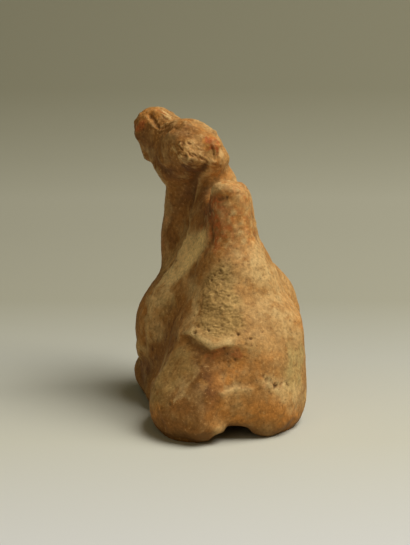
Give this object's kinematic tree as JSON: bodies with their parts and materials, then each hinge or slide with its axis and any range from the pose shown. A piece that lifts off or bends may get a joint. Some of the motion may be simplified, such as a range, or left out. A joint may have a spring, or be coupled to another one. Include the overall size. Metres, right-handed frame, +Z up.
{
  "type": "terracotta camel figurine",
  "caption": "Worn fired-clay figure of a camel lying on folded legs, with one blunt hump, raised neck, long muzzle, broken ears and a hollow underside.",
  "frame": {"origin": "on the ground under the middle of the figure's length and width", "axes": "+Z up, +Y the way the camel faces, +X its right side"},
  "size_m": [0.0688, 0.1044, 0.117],
  "materials": {
    "terracotta": "matte fired clay, unglazed, worn and dusty"
  },
  "bodies": {
    "root": {"terracotta_camel": "terracotta"}
  },
  "joints": []
}
